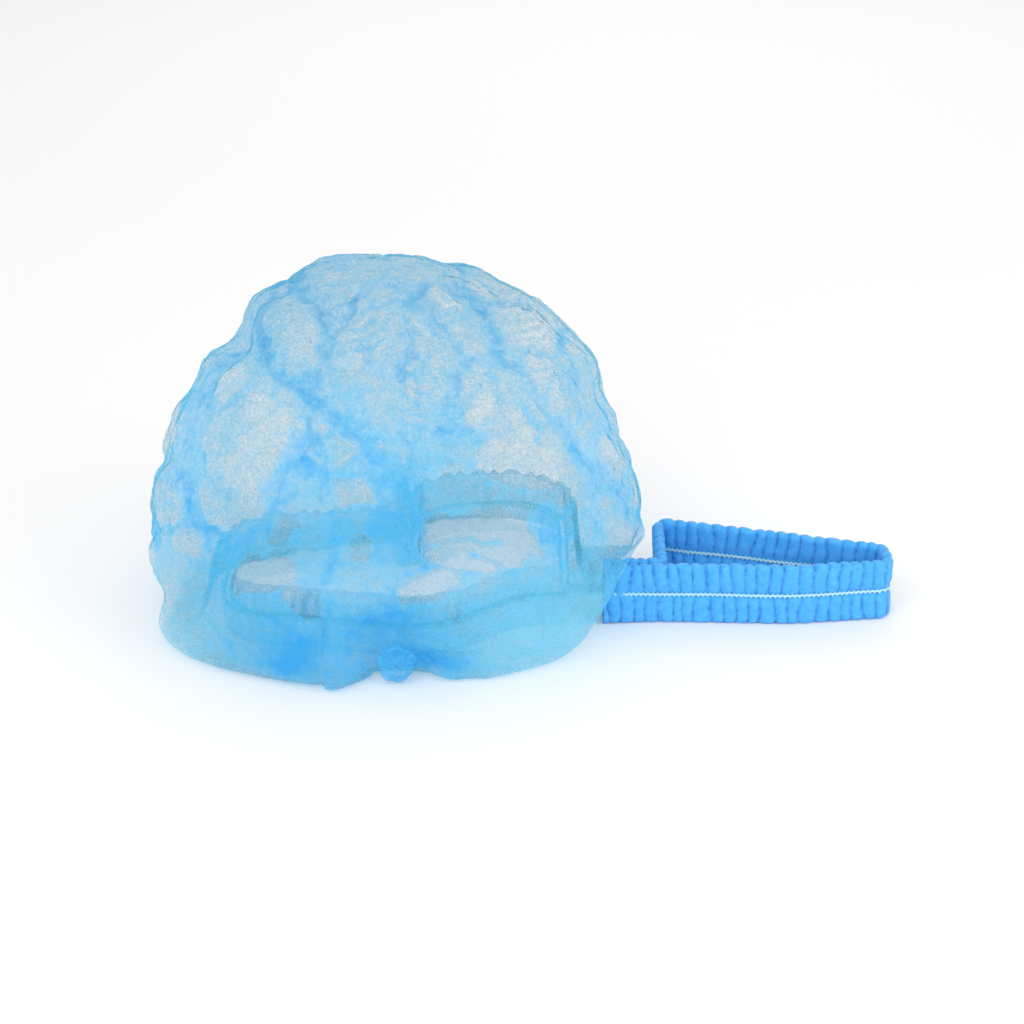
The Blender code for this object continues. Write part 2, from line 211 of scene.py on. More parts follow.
# Patches where the cloth is single and pale: middle, half width and height in pixels, turn in degrees and
# layers.
PATCHES = (
    (262, 444, 46, 46, 0, 1.35),
    (252, 496, 32, 36, 0, 1.2),
    (246, 390, 24, 20, -20, 1.2),
    (300, 340, 29, 42, -12, 1.6),
    (282, 294, 8, 7, 0, 1.2),
    (174, 426, 9, 28, 20, 1.2),
    (213, 361, 9, 7, -30, 1.2),
    (344, 458, 20, 13, -10, 1.2),
    (331, 425, 9, 17, -20, 1.2),
    (363, 376, 12, 9, 20, 1.2),
    (474, 294, 28, 9, 42, 1.2),
    (450, 314, 22, 9, 35, 1.2),
    (427, 346, 8, 20, 10, 1.2),
    (526, 340, 36, 20, 20, 1.2),
    (538, 384, 22, 20, 30, 1.2),
    (561, 412, 10, 22, -25, 1.2),
    (576, 352, 9, 14, -20, 1.2),
    (584, 405, 3, 20, -5, 1.2),
    (480, 406, 16, 28, 10, 1.2),
    (521, 408, 10, 34, -28, 1.2),
    (520, 464, 46, 26, 8, 1.2),
    (417, 402, 5, 10, 0, 1.2),
    (419, 376, 7, 8, 0, 1.2),
    (392, 453, 7, 4, 20, 1.2),
    (617, 458, 11, 24, -25, 1.2),
    (612, 476, 10, 10, 0, 1.2),
    (180, 500, 22, 22, 0, 1.2),
    (202, 540, 20, 14, 30, 1.2),
    (159, 560, 9, 20, 0, 1.2),
    (357, 497, 22, 18, 0, 1.2),
    (303, 530, 22, 10, -15, 1.2),
    (308, 486, 5, 16, 35, 1.2),
    (284, 572, 34, 15, 0, 0.8),
    (322, 596, 20, 12, 20, 0.8),
    (370, 547, 16, 13, 0, 1.5),
    (175, 626, 11, 15, 0, 1.2),
    (482, 540, 60, 30, 5, 0.55),
    (432, 582, 28, 15, -12, 0.55),
    (558, 505, 8, 12, 0, 1.2),
    (573, 556, 12, 14, 0, 1.2),
    (598, 505, 7, 13, 0, 1.2),
    (628, 530, 14, 17, 0, 1.2),
    (633, 500, 6, 18, -15, 1.2),
    (442, 669, 14, 4, 0, 1.2),
)

# Dents and bulges of the outline: middle and radius in pixels, and depth in metres, below zero for a bulge.
DENTS = (
    (238, 338, 15, 0.0042),
    (222, 330, 34, 0.0058),
    (192, 378, 34, 0.0038),
    (168, 425, 30, 0.0026),
    (213, 352, 14, -0.0020),
    (160, 458, 12, 0.0026),
    (150, 520, 34, 0.0010),
    (280, 276, 20, 0.0022),
    (448, 259, 14, 0.0020),
    (500, 279, 20, 0.0014),
    (606, 394, 20, 0.0048),
    (240, 314, 14, 0.0020),
    (622, 428, 26, 0.0034),
    (638, 468, 28, 0.0026),
    (158, 600, 14, 0.0034),
)

COLUMNS = 460
ROWS = 208


def smooth_step(low, high, value):
    share = np.clip((np.asarray(value, dtype=float) - low) / (high - low), 0.0, 1.0)
    return share * share * (3 - 2 * share)


def rounded_path(corners):
    """Points along straight runs through corners of (x, y, radius), with each corner turned on an arc."""
    path = [Vector(corners[0][:2])]
    for before, corner, after in zip(corners, corners[1:], corners[2:]):
        here = Vector(corner[:2])
        back = (Vector(before[:2]) - here).normalized()
        onward = (Vector(after[:2]) - here).normalized()
        half = math.acos(max(-1.0, min(1.0, back.dot(onward)))) / 2
        bisector = back + onward
        if corner[2] <= 0 or bisector.length < 1e-6:
            path.append(here)
            continue
        room = min((Vector(before[:2]) - here).length, (Vector(after[:2]) - here).length) / 2
        radius = min(corner[2], room * math.tan(half))
        centre = here + bisector.normalized() * radius / math.sin(half)
        start = here + back * radius / math.tan(half) - centre
        turn = math.pi - 2 * half
        if start.x * -back.y - start.y * -back.x < 0:
            turn = -turn
        steps = max(2, math.ceil(abs(turn) / math.radians(5)))
        for i in range(steps + 1):
            sine, cosine = math.sin(turn * i / steps), math.cos(turn * i / steps)
            turned = (start.x * cosine - start.y * sine, start.x * sine + start.y * cosine)
            path.append(centre + Vector(turned))
    path.append(Vector(corners[-1][:2]))
    return np.array([tuple(point) for point in path])


def resampled(path, count):
    """count + 1 points evenly spaced along a path of any dimension."""
    steps = np.linalg.norm(np.diff(path, axis=0), axis=1)
    reach = np.concatenate(([0.0], np.cumsum(steps)))
    wanted = np.linspace(0, reach[-1], count + 1)
    return np.stack([np.interp(wanted, reach, path[:, k]) for k in range(path.shape[1])], axis=1), reach[-1]


def mouth_corners():
    left = -MOUTH_WIDTH / 2
    return [
        (left + along * MOUTH_WIDTH, back * MOUTH_DEPTH - MOUTH_FORWARD, radius * MOUTH_DEPTH)
        for along, back, radius in MOUTH_CORNERS
    ]


def mouth_path():
    end = TURN - CORNER_RADIUS
    right = MOUTH_WIDTH / 2
    return rounded_path(
        [(end, 0, 0), *mouth_corners(), (right, RUN_OFFSET, CORNER_RADIUS), (end, RUN_OFFSET, 0)]
    )


def rim_path():
    right = MOUTH_WIDTH / 2
    close = (right, -CORNER_RADIUS / 2, CORNER_RADIUS)
    middle = (right, CENTRE[1], 0)
    return rounded_path([middle, close, *mouth_corners(), middle])


def strap_path():
    start = TURN - CORNER_RADIUS + STRAP_JOIN
    far = RUN_OFFSET + STRAP_SPREAD
    tip = STRAP_START + STRAP_REACH - PLEAT_RIDGE / 2
    return rounded_path(
        [
            (start, RUN_OFFSET, 0),
            (TURN, RUN_OFFSET, CORNER_RADIUS),
            (TURN, far, CORNER_RADIUS),
            (tip, STRAP_LEAN + 3 * TIP_RADIUS, TIP_RADIUS * 0.9),
            (tip, STRAP_LEAN, TIP_RADIUS * 0.9),
            (TURN + STRAP_REACH * 0.55, -STRAP_LEAN / 2, STRAP_REACH * 0.5),
            (TURN + STRAP_REACH * 0.1, 0.0, STRAP_REACH * 0.5),
            (start, 0.0, 0),
        ]
    )


def cloud(points, scale, seed, octaves=2):
    """Smooth noise from about -1 to 1 at each point, with features of about scale metres."""
    offset = Vector((seed * 7.31, seed * 3.17, seed * 5.73))
    spots = (Vector(point) / scale + offset for point in points)
    basis = "PERLIN_ORIGINAL"
    return np.array([noise.fractal(spot, 0.9, 2.1, octaves, noise_basis=basis) for spot in spots])


def creases(points, scale, seed):
    """How near each point is to the edge of a crumpled facet: 0 inside it, 1 on its edge."""
    offset = Vector((seed * 4.19, seed * 9.01, seed * 1.37))
    found = np.empty(len(points))
    for i, point in enumerate(points):
        near = noise.voronoi(Vector(point) / scale + offset)[0]
        found[i] = near[1] - near[0]
    return np.exp(-((found / 0.10) ** 2))


def mesh_object(name, points, faces, smooth=True):
    mesh = bpy.data.meshes.new(name)
    mesh.from_pydata([tuple(point) for point in points], [], faces)
    if smooth:
        mesh.shade_smooth()
    mesh.update()
    made = bpy.data.objects.new(name, mesh)
    bpy.context.scene.collection.objects.link(made)
    return made


def grid_faces(columns, rows, closed_columns=True, closed_rows=False):
    across = columns if closed_columns else columns - 1
    along = rows if closed_rows else rows - 1
    i, j = np.meshgrid(np.arange(across), np.arange(along), indexing="ij")
    a = i * rows + j
    b = ((i + 1) % columns) * rows + j
    c = ((i + 1) % columns) * rows + (j + 1) % rows
    d = i * rows + (j + 1) % rows
    return np.stack([a, b, c, d], axis=-1).reshape(-1, 4).tolist()


def section_at(azimuth):
    degrees = math.degrees(azimuth) % 360
    rows = [*SECTIONS, (SECTIONS[0][0] + 360, *SECTIONS[0][1:])]
    for low, high in zip(rows, rows[1:]):
        if low[0] <= degrees <= high[0]:
            share = float(smooth_step(low[0], high[0], degrees))
            return [a + (b - a) * share for a, b in zip(low[1:], high[1:])]
    return list(SECTIONS[0][1:])


def outline_reach(azimuth):
    x = abs(math.cos(azimuth)) / (POUCH_WIDTH / 2)
    y = abs(math.sin(azimuth)) / (POUCH_DEPTH / 2)
    return (x**POUCH_SQUARENESS + y**POUCH_SQUARENESS) ** (-1 / POUCH_SQUARENESS)


def over_runs(plan, height):
    """The height of the sheet at a place in plan, lifted where it lies over the band's two runs."""
    beyond = max(0.0, MOUTH_WIDTH / 2 - PLEAT_RIDGE - plan[0])
    aside = max(0.0, abs(plan[1] - RUN_OFFSET / 2) - RUN_OFFSET / 2 - RUN_MARGIN)
    return max(height, BAND_WIDTH + DRAPE_LIFT - DRAPE_SLOPE * math.hypot(beyond, aside))


def pouch_base():
    """The pouch's smooth sheet as columns by rows of points, from the seam to the apex.

    With it comes how far along its column each point lies, as a share of the way from the seam to the foot.
    """
    path, _ = resampled(rim_path(), COLUMNS)
    rim = path[:-1]
    direction = np.roll(rim, -1, axis=0) - np.roll(rim, 1, axis=0)
    direction /= np.linalg.norm(direction, axis=1, keepdims=True)
    outward = np.stack([-direction[:, 1], direction[:, 0]], axis=1)
    start = math.atan2(rim[0][1] - CENTRE[1], rim[0][0] - CENTRE[0])
    crown = CENTRE - np.array((CROWN_LEAN, 0.0))
    grid = np.empty((COLUMNS, ROWS, 3))
    outward_share = np.empty((COLUMNS, ROWS))
    for i in range(COLUMNS):
        even = start - 2 * math.pi * i / COLUMNS
        own = math.atan2(rim[i][1] - CENTRE[1], rim[i][0] - CENTRE[0])
        slip = (own - even + math.pi) % (2 * math.pi) - math.pi
        azimuth = even + slip * 0.45
        belly_share, height_share, foot_share = section_at(azimuth)
        reach = outline_reach(azimuth) * belly_share
        ray = np.array((math.cos(azimuth), math.sin(azimuth)))
        belly = CENTRE + ray * reach
        foot = CENTRE + ray * reach * foot_share
        lip = rim[i] + outward[i] * LIP_REACH
        seam = BAND_WIDTH + SEAM_LIFT
        high = height_share * POUCH_HEIGHT
        keys = (
            (rim[i], seam),
            (lip, seam + 0.0003),
            (lip + (foot - lip) * 0.10, BAND_WIDTH * 0.45),
            *((lip + (foot - lip) * share, FLOOR_GAP) for share in (0.34, 0.62, 0.90)),
            (foot, high * 0.22),
            (foot + (belly - foot) * 0.62, high * 0.58),
            (belly, high),
        )
        column = []
        for j, (plan, height) in enumerate(keys):
            lifted = over_runs(plan, height) if j > 0 else height
            if j == len(keys) - 1:
                lifted = max(lifted, column[-1][2] + high * 0.2)
            column.append((plan[0], plan[1], lifted))
        top = column[-1][2]
        for j in range(1, 19):
            climb = math.pi / 2 * j / 18
            plan = crown + (belly - crown) * math.cos(climb)
            column.append((plan[0], plan[1], top + (POUCH_HEIGHT - APEX_DROP - top) * math.sin(climb)))
        column = np.array(column)
        grid[i], length = resampled(column, ROWS - 1)
        to_foot = np.linalg.norm(np.diff(column[:7], axis=0), axis=1).sum()
        outward_share[i] = np.linspace(0, length, ROWS) / to_foot
    grid[:, :, :2] += ORIGIN
    apex = grid[:, -1].mean(axis=0)
    for _ in range(6):
        middle = (grid[:, :-2] + 2 * grid[:, 1:-1] + grid[:, 2:]) / 4
        grid[:, 2:-1] = middle[:, 1:]
    for _ in range(4):
        grid = (np.roll(grid, 1, axis=0) + 2 * grid + np.roll(grid, -1, axis=0)) / 4
    grid[:, -1] = apex
    return grid, outward_share


def grid_normals(grid):
    around = np.roll(grid, -1, axis=0) - np.roll(grid, 1, axis=0)
    up = np.empty_like(grid)
    up[:, 1:-1] = grid[:, 2:] - grid[:, :-2]
    up[:, 0] = grid[:, 1] - grid[:, 0]
    up[:, -1] = grid[:, -1] - grid[:, -2]
    normals = np.cross(up, around)
    length = np.linalg.norm(normals, axis=2, keepdims=True)
    normals = normals / np.maximum(length, 1e-12)
    normals[:, -1] = (0, 0, 1)
    return normals


def to_sight(points):
    """Pixels of the photograph where the points show."""
    up = points[..., 2] * math.cos(TILT) + (points[..., 1] - NEAR_RUN_Y) * math.sin(TILT)
    return np.stack([points[..., 0] / M_PER_PIXEL + PIXEL_MIDDLE, PIXEL_FLOOR - up / M_PER_PIXEL], axis=-1)


def line_distance(sight, line):
    """Signed distance in pixels from a line, the across direction, and the share along it."""
    line = np.array(line, dtype=float)
    runs = np.diff(line, axis=0)
    lengths = np.linalg.norm(runs, axis=1)
    before = np.concatenate(([0.0], np.cumsum(lengths)))
    best = np.full(sight.shape[:-1], 1e9)
    signed = np.zeros_like(best)
    along = np.zeros_like(best)
    across = np.zeros(sight.shape)
    for k, run in enumerate(runs):
        unit = run / lengths[k]
        normal = np.array((-unit[1], unit[0]))
        offset = sight - line[k]
        s = offset @ unit
        clipped = np.clip(s, 0, lengths[k])
        away = np.linalg.norm(offset - clipped[..., None] * unit, axis=-1)
        closer = away < best
        best = np.where(closer, away, best)
        signed = np.where(closer, np.sign(offset @ normal) * away, signed)
        along = np.where(closer, before[k] + s, along)
        across = np.where(closer[..., None], normal, across)
    return signed, across, along, before[-1]


def oval_distance(sight, x, y, wide, tall, turn):
    """Distance from an oval's middle, 1 on its edge."""
    sine, cosine = math.sin(math.radians(turn)), math.cos(math.radians(turn))
    right, down = sight[..., 0] - x, sight[..., 1] - y
    return np.hypot((right * cosine + down * sine) / wide, (down * cosine - right * sine) / tall)


def folded_pouch():
    """The pouch's crumpled sheet, and at each of its points the layers of cloth that lie there."""
    grid, outward_share = pouch_base()
    normals = grid_normals(grid)
    shape = grid.shape[:2]
    flat = grid.reshape(-1, 3)
    wide_noise = [cloud(flat, 0.016, seed, 2).reshape(shape) for seed in (11, 12)]
    fine_noise = [cloud(flat, 0.0055, seed, 2).reshape(shape) for seed in (13, 14)]
    plain_sight = to_sight(grid)
    sight = plain_sight + np.stack([9 * a + 4 * b for a, b in zip(wide_noise, fine_noise)], axis=-1)
    rows = np.arange(ROWS)[None, :] / (ROWS - 1)
    height = grid[..., 2]
    toward = normals @ np.array((0, -math.cos(TILT), math.sin(TILT)))
    seen = 0.45 + 0.55 * smooth_step(-0.15, 0.15, toward)
    wall = smooth_step(0.92, 1.12, outward_share)
    weight = seen * wall
    layers = 1.6 + 1.25 * weight
    moved = np.zeros_like(grid)
    ease = 1 - smooth_step(0.955, 0.99, rows)
    for x, y, wide, tall, turn, change in TONES:
        layers += change * weight * np.exp(-(oval_distance(sight, x, y, wide, tall, turn) ** 2))
    for x, y, wide, tall, turn, fewer in PATCHES:
        away = oval_distance(sight, x, y, wide, tall, turn)
        soft = 2.2 / min(wide, tall)
        inside = (1 - smooth_step(1 - soft, 1 + soft, away)) * weight
        layers += (fewer - layers) * inside * 0.95
        layers += 0.7 * weight * np.exp(-(((away - 1 - 1.4 * soft) / (1.2 * soft)) ** 2))
        moved += normals * (0.0010 * inside)[..., None]
    for line, width, added in FOLDS:
        signed, _, along, length = line_distance(sight, line)
        ends = smooth_step(-6, 20, along) * (1 - smooth_step(length - 20, length + 6, along))
        half = width / 2
        profile = np.exp(-(np.abs(signed / half) ** 2.6)) * ends * weight
        layers += added * profile + 0.35 * added * np.exp(-((signed / (half * 2.2)) ** 2)) * ends * weight
        step = np.tanh(signed / (half * 0.5)) * np.exp(-((signed / (half * 2.6)) ** 2))
        valley = np.exp(-((signed / (half * 2.2)) ** 2))
        moved += normals * ((0.0005 * step - 0.0016 * valley) * ends * wall * ease)[..., None]
    for line, width, added in CREASES:
        signed, _, along, length = line_distance(sight, line)
        ends = smooth_step(-3, 10, along) * (1 - smooth_step(length - 10, length + 3, along))
        profile = np.exp(-((signed / (width * 0.6)) ** 2)) * ends * weight
        layers += added * profile
        moved -= normals * (0.0009 * profile * ease)[..., None]
    for line, wide in LADDERS:
        signed, _, along, length = line_distance(0.6 * plain_sight + 0.4 * sight, line)
        rungs = np.sin(2 * math.pi * (along + 0.45 * np.abs(signed)) / 10.5)
        there = np.exp(-((signed / wide) ** 2)) * smooth_step(-8, 8, along)
        there = there * (1 - smooth_step(length - 8, length + 8, along)) * weight
        layers += 1.1 * rungs * there
        moved += normals * (0.0005 * rungs * there)[..., None]
    for x, y, radius, depth in DENTS:
        away = np.hypot(plain_sight[..., 0] - x, plain_sight[..., 1] - y) / radius
        moved -= normals * (depth * np.exp(-(away**2)) * smooth_step(0.004, 0.014, height))[..., None]
    soft = cloud(flat, 0.030, 1, 2).reshape(shape)
    fine = cloud(flat, 0.0085, 2, 3).reshape(shape)
    facets = creases(flat, 0.021, 3).reshape(shape)
    small = creases(flat, 0.0095, 4).reshape(shape)
    crumple = 0.0016 * soft + 0.00055 * fine - 0.0008 * facets - 0.00035 * small
    loose = smooth_step(0.5, 1.0, outward_share) * ease * (0.2 + 0.8 * smooth_step(0.003, 0.022, height))
    moved += normals * (crumple * loose)[..., None]
    layers *= 1 + 0.16 * soft + 0.20 * fine + 0.14 * facets + 0.12 * small

    column = np.arange(COLUMNS)[:, None]
    gather = smooth_step(0.0, 0.02, rows) * (1 - smooth_step(0.35, 0.85, outward_share))
    ripple = np.sin(2 * math.pi * column / 7.67 + 1.2 * np.sin(column * 0.37) + 2.0 * rows)
    moved += normals * (ripple * gather * 0.0010)[..., None]
    layers += 0.4 * ripple * gather

    # The fold that hangs over the front edge beside the knot, with a crisp left side
    x, y = grid[..., 0], grid[..., 1]
    tongue = smooth_step(-0.0663, -0.0643, x) * (0.55 + 0.45 * smooth_step(-0.0648, -0.0598, x))
    tongue = tongue * (1 - smooth_step(-0.0578, -0.0440, x))
    tongue = tongue * smooth_step(0.052, 0.066, -y) * (1 - smooth_step(0.012, 0.040, height))
    moved[..., 1] -= 0.0058 * tongue
    moved[..., 0] -= 0.0018 * tongue * np.exp(-(((x + 0.0628) / 0.003) ** 2))
    layers += 1.2 * tongue

    # Right of the knot the cloth's edge overhangs the band
    under = smooth_step(386, 408, plain_sight[..., 0]) * (1 - smooth_step(466, 492, plain_sight[..., 0]))
    under = under * smooth_step(642, 648, plain_sight[..., 1]) * smooth_step(0.045, 0.060, -y)
    moved[..., 1] += 0.0026 * under

    # Pleats that run to the front knot
    knot = np.array(KNOT_PLACE)
    from_knot = grid - knot
    reach = np.linalg.norm(from_knot, axis=-1)
    turn = np.arctan2(from_knot[..., 2], from_knot[..., 0])
    near = np.exp(-((reach / 0.026) ** 2)) * (y < -0.02)
    rays = np.sin(turn * 15 + 2.3 * np.sin(turn * 5) + soft * 2)
    moved += normals * (rays * near * 0.0010 * smooth_step(0.004, 0.016, reach))[..., None]
    layers += near * (0.5 + 0.8 * rays)

    # The cloth is drawn out into the knot
    from_middle = np.hypot(x - knot[0], height - 0.0075)
    drawn = np.exp(-((from_middle / 0.0055) ** 2)) * smooth_step(0.044, 0.056, -y)
    moved[..., 1] -= 0.0062 * drawn

    result = grid + moved
    result[..., 2] = np.maximum(result[..., 2], 0.0003)
    result[:, -1] = result[:, -1].mean(axis=0)
    return result, np.clip(layers, 0.6, 14.0)


def pouch_sheet():
    grid, layers = folded_pouch()
    made = mesh_object("pouch_cloth", grid.reshape(-1, 3), grid_faces(COLUMNS, ROWS))
    attribute = made.data.attributes.new("layers", "FLOAT", "POINT")
    attribute.data.foreach_set("value", layers.reshape(-1).astype(np.float32))
    shape = bmesh.new()
    shape.from_mesh(made.data)
    shape.verts.ensure_lookup_table()
    last = [shape.verts[i * ROWS + ROWS - 1] for i in range(COLUMNS)]
    bmesh.ops.remove_doubles(shape, verts=last, dist=0.0005)
    shape.to_mesh(made.data)
    shape.free()
    made.data.shade_smooth()
    return made


def ridge(phase):
    """A rounded pleat: broad round ridges with narrow grooves between."""
    wave = np.abs(np.sin(math.pi * phase))
    return wave**0.46


def whole_band():
    """The closed line of the whole band, and the share of it that is the mouth's part."""
    mouth, strap = mouth_path(), strap_path()
    line = np.concatenate([mouth, strap])
    steps = np.linalg.norm(np.diff(np.concatenate([line, line[:1]]), axis=0), axis=1)
    return np.concatenate([line, line[:1]]), steps[: len(mouth)].sum() / steps.sum()


def bands(step):
    """The pleated band's pieces: rounded pleats pinched at the stitch line, with ruffled edges."""
    path, mouth_share = whole_band()
    _, total = resampled(path, 10)
    count = int(total / step)
    line = resampled(path, count)[0][:-1]
    direction = np.roll(line, -1, axis=0) - np.roll(line, 1, axis=0)
    direction /= np.linalg.norm(direction, axis=1, keepdims=True)
    across = np.stack([-direction[:, 1], direction[:, 0]], axis=1)
    turns = 2 * math.pi * np.arange(count) / count
    pleats = round(total / PLEAT_PITCH)
    base = pleats * turns / (2 * math.pi)

    def drift(scale, seed):
        reach = total / (2 * math.pi * scale)
        spots = [Vector((reach * math.cos(t), reach * math.sin(t), seed)) for t in turns]
        return np.array([noise.noise(spot) for spot in spots])

    def curl(level):
        reach = total / (2 * math.pi * 0.010)
        spots = [Vector((reach * math.cos(t), reach * math.sin(t), level * 2.6 + 20)) for t in turns]
        return np.array([noise.noise(spot) for spot in spots])

    wobble, tall_drift = drift(0.014, 3.3), drift(0.008, 1.9)
    upper, lower = drift(0.006, 5.1), drift(0.006, 9.7)
    levels = np.concatenate([np.linspace(0.0, 0.46, 11), [0.5], np.linspace(0.54, 1.0, 11)])
    rings, groove_shades, covers = [], [], []
    ragged = drift(0.009, 7.7)
    near_lip = smooth_step(0.012, -0.010, line[:, 1])
    near_cover = 1 - smooth_step(MOUTH_WIDTH / 2 - 0.004, MOUTH_WIDTH / 2 + 0.004, line[:, 0])
    for side in (-1, 1):
        for level in levels if side < 0 else levels[::-1]:
            own = upper if level > 0.5 else lower
            from_stitch = abs(level - 0.5) * 2
            lean = 0.16 * own * from_stitch + (0.21 if side > 0 else 0) + (0.36 if level < 0.5 else 0)
            bump = ridge(base + 0.30 * wobble + 0.20 * own + lean + 0.34 * curl(level))
            pinch = 0.45 + 0.55 * float(smooth_step(0.0, 0.34, from_stitch))
            edge = 1 - 0.55 * float(smooth_step(0.88, 1.0, from_stitch)) ** 2
            half = (GROOVE_HALF + PLEAT_RISE * bump) * pinch * edge
            height = level * BAND_WIDTH + float(smooth_step(0.85, 1.0, level)) * (0.0008 * bump - 0.0006)
            height = height + float(smooth_step(0.15, 0.0, level)) * 0.0004 * (1 - bump)
            height = np.maximum(height + 0.0004 * tall_drift * level, 0.0)
            plan = line + across * (side * half)[:, None]
            rings.append(np.column_stack([plan + ORIGIN, height]))
            # Painted shade: how deep each point lies in a groove, which the pleated material darkens
            groove_shades.append(np.clip(1.45 - 1.6 * bump, 0, 1) * (0.35 + 0.65 * pinch))
            frill = (0.60 if level > 0.5 else 0.22) + near_lip * (1.2 if level > 0.5 else 1.0) * near_cover
            # Painted light: the frill's cover thins toward the band's top along a ragged line, lightening the
            # top where it lies in shade
            top_edge_lightening = smooth_step(0.62 + 0.25 * ragged, 1.0 + 0.25 * ragged, level)
            frill = frill * (1 - (0.55 + 0.35 * near_lip) * top_edge_lightening)
            frill = frill * (0.35 + 0.65 * np.abs(direction[:, 0]))
            covers.append(frill * (1 + 1.5 * (1 - bump)))
    points = np.stack(rings, axis=1)
    groove_shades, covers = np.stack(groove_shades, axis=1), np.stack(covers, axis=1)
    split = int(count * mouth_share)
    runs = np.nonzero(line[:split, 0] < FRILL_END)[0]
    made = []
    for name, stretches in (
        ("mouth_band_pleats", ((runs[0], runs[-1]),)),
        ("mouth_band_runs", ((0, runs[0]), (runs[-1], split))),
        ("strap_loop_pleats", ((split, count),)),
    ):
        size = points.shape[1]
        shown, faces, kept = [], [], []
        for first, last in stretches:
            chosen = np.arange(first, last + 1) % count
            start = sum(len(part) for part in shown)
            own = grid_faces(len(chosen), size, closed_columns=False, closed_rows=True)
            own.append(list(range(size)))
            own.append([(len(chosen) - 1) * size + k for k in reversed(range(size))])
            faces += [[start + k for k in face] for face in own]
            shown.append(points[chosen].reshape(-1, 3))
            kept.append(chosen)
        chosen = np.concatenate(kept)
        piece = mesh_object(name, np.concatenate(shown), faces)
        for label, values in (("groove_shade", groove_shades), ("layers", covers)):
            attribute = piece.data.attributes.new(label, "FLOAT", "POINT")
            attribute.data.foreach_set("value", values[chosen].reshape(-1).astype(np.float32))
        outward_faces(piece)
        made.append(piece)
    return made


def outward_faces(piece):
    shape = bmesh.new()
    shape.from_mesh(piece.data)
    bmesh.ops.recalc_face_normals(shape, faces=shape.faces)
    shape.to_mesh(piece.data)
    shape.free()
    piece.data.shade_smooth()


def stitches(name, path, seed):
    """The stitch line on both faces of a band: a cord with short ticks across it."""
    _, total = resampled(path, 10)
    count = int(total / STITCH_STEP)
    line, _ = resampled(path, count)
    direction = np.gradient(line, axis=0)
    direction /= np.linalg.norm(direction, axis=1, keepdims=True)
    across = np.stack([-direction[:, 1], direction[:, 0]], axis=1)
    curve = bpy.data.curves.new(name, "CURVE")
    curve.dimensions = "3D"
    curve.bevel_depth = CORD_RADIUS
    curve.bevel_resolution = 1
    curve.use_fill_caps = True
    for side in (-1, 1):
        for swing in (0.0, TICK_SWING):
            chosen = range(0, count + 1, 1 if swing else 3)
            spline = curve.splines.new("POLY")
            spline.points.add(len(chosen) - 1)
            for k, i in enumerate(chosen):
                drift = 0.0006 * noise.noise(Vector((i * 0.035, seed, side)))
                height = BAND_WIDTH / 2 + (swing if i % 2 else -swing) + drift
                plan = line[i] + across[i] * side * (TICK_OUT if swing else CORD_OUT) + ORIGIN
                spline.points[k].co = (plan[0], plan[1], height, 1)
    made = bpy.data.objects.new(name, curve)
    bpy.context.scene.collection.objects.link(made)
    return made


def crumpled_bunch(name, box):
    """Gathered cloth as crumpled fins round an upright line, thinning outwards and upwards."""
    low, high = np.array(box[0]), np.array(box[1])
    centre = (low + high) / 2
    fins, wide, tall = 7, 26, 96
    points, faces, layers = [], [], []
    for fin in range(fins):
        angle = 2 * math.pi * fin / fins + 0.25 * math.sin(fin * 2.3)
        grid = np.empty((wide, tall, 3))
        cover = np.empty((wide, tall))
        for j in range(tall):
            share = j / (tall - 1)
            reach = np.interp(share, (0, 0.15, 0.40, 0.70, 1), (0.0078, 0.0074, 0.0080, 0.0110, 0.0135))
            for i in range(wide):
                out = i / (wide - 1)
                spot = Vector((out * 2.2, share * 6.5, fin * 3.7))
                rough = noise.noise(spot) + 0.6 * noise.noise(spot * 2.6)
                near = noise.voronoi(spot * 2.1)[0]
                crease = math.exp(-(((near[1] - near[0]) / 0.12) ** 2))
                turned = angle + 1.1 * share + 0.9 * out * math.sin(share * 9 + fin) + 0.45 * rough
                away = reach * out * (1 + 0.25 * rough)
                x = centre[0] + away * math.cos(turned) * 1.1 - 0.003 * share
                y = centre[1] - 0.001 + away * math.sin(turned) * 0.75
                grid[i, j] = (x, y, max(0.0008 + share * 0.054 + 0.002 * rough * out, 0.0005))
                edge = 1 - 0.93 * float(smooth_step(0.45, 1.0, out))
                edge *= 1 - 0.97 * float(smooth_step(0.45, 0.92, share))
                core = 0.25 + 0.75 * float(smooth_step(0, 0.3, out))
                cover[i, j] = (0.8 + 3.2 * crease + 0.9 * rough) * edge * core
        start = sum(len(part) for part in points)
        points.append(grid.reshape(-1, 3))
        layers.append(cover.reshape(-1))
        faces += [[start + k for k in face] for face in grid_faces(wide, tall, closed_columns=False)]
    made = mesh_object(name, np.concatenate(points), faces)
    attribute = made.data.attributes.new("layers", "FLOAT", "POINT")
    attribute.data.foreach_set("value", np.clip(np.concatenate(layers), 0.08, 6).astype(np.float32))
    return made


